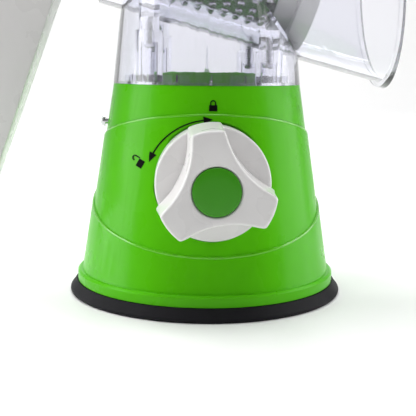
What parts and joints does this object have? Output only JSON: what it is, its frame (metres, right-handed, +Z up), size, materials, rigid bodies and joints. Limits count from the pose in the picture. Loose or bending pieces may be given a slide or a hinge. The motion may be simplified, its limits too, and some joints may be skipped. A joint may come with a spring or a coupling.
{
  "type": "rotary cheese grater",
  "caption": "Hand-cranked rotary cheese grater with a steel grating drum in a clear housing, a feed chute with pusher, and a suction base locked by a knob.",
  "frame": {"origin": "centre of the suction foot's resting face", "axes": "+Z up from the table, +X towards the drum's open mouth, -Y towards the lock knob"},
  "size_m": [0.2596, 0.1514, 0.2827],
  "materials": {
    "green_gloss": "gloss",
    "green_cap": "gloss",
    "white_plastic": "satin gloss",
    "grey_plastic": "matt",
    "clear_plastic": "polished",
    "black_rubber": "matt",
    "steel": "polished",
    "drum_steel": "bright"
  },
  "bodies": {
    "base": {"suction_foot": "black_rubber", "suction_membrane": "black_rubber", "base_shell": "green_gloss", "base_plate": "white_plastic", "plate_screws": "steel", "side_screw": "steel", "clear_floor": "clear_plastic", "housing_screws": "steel", "deck_screws": "steel", "clear_column": "clear_plastic", "drum_housing": "clear_plastic", "feed_chute": "clear_plastic", "rear_cap": "white_plastic", "shaft_bush": "grey_plastic"},
    "knob": {"cam_shaft": "steel", "lift_cam": "white_plastic", "lock_knob": "white_plastic", "knob_cap": "green_cap", "knob_screw": "steel"},
    "stem": {"suction_stem": "white_plastic", "stem_disc": "white_plastic"},
    "rotor": {"drive_shaft": "steel", "crank_arm": "white_plastic", "hub_screw": "steel", "hub_cap": "green_cap", "handle_pin": "steel", "drum_shell": "drum_steel", "drum_ring": "white_plastic", "drum_end": "green_cap"},
    "handle": {"crank_handle": "white_plastic", "handle_cap": "green_cap"},
    "pusher": {"pusher_body": "clear_plastic", "pusher_grip": "green_cap"}
  },
  "joints": [
    {"name": "lock_knob_turn", "type": "hinge", "parent": "base", "child": "knob", "pos_m": [0, -0.0605, 0.0595], "axis": [0, -1, 0], "range_deg": [0, 75]},
    {"name": "suction_lift", "type": "slide", "parent": "base", "child": "stem", "axis": [0, 0, 1], "range_m": [-0.0035, 0], "deforming": ["suction_membrane"]},
    {"name": "crank_turn", "type": "hinge", "parent": "base", "child": "rotor", "pos_m": [0, 0, 0.1672], "axis": [0.9711, 0, -0.2385], "continuous": true},
    {"name": "handle_spin", "type": "hinge", "parent": "rotor", "child": "handle", "pos_m": [-0.03292, 0, 0.03318], "axis": [0.9711, 0, -0.2385], "continuous": true},
    {"name": "pusher_lift", "type": "slide", "parent": "base", "child": "pusher", "axis": [0, 0, 1], "range_m": [0, 0.09]}
  ],
  "couplings": [
    {"joint": "suction_lift", "follows": "lock_knob_turn", "m_per_rad": -0.0026738}
  ]
}
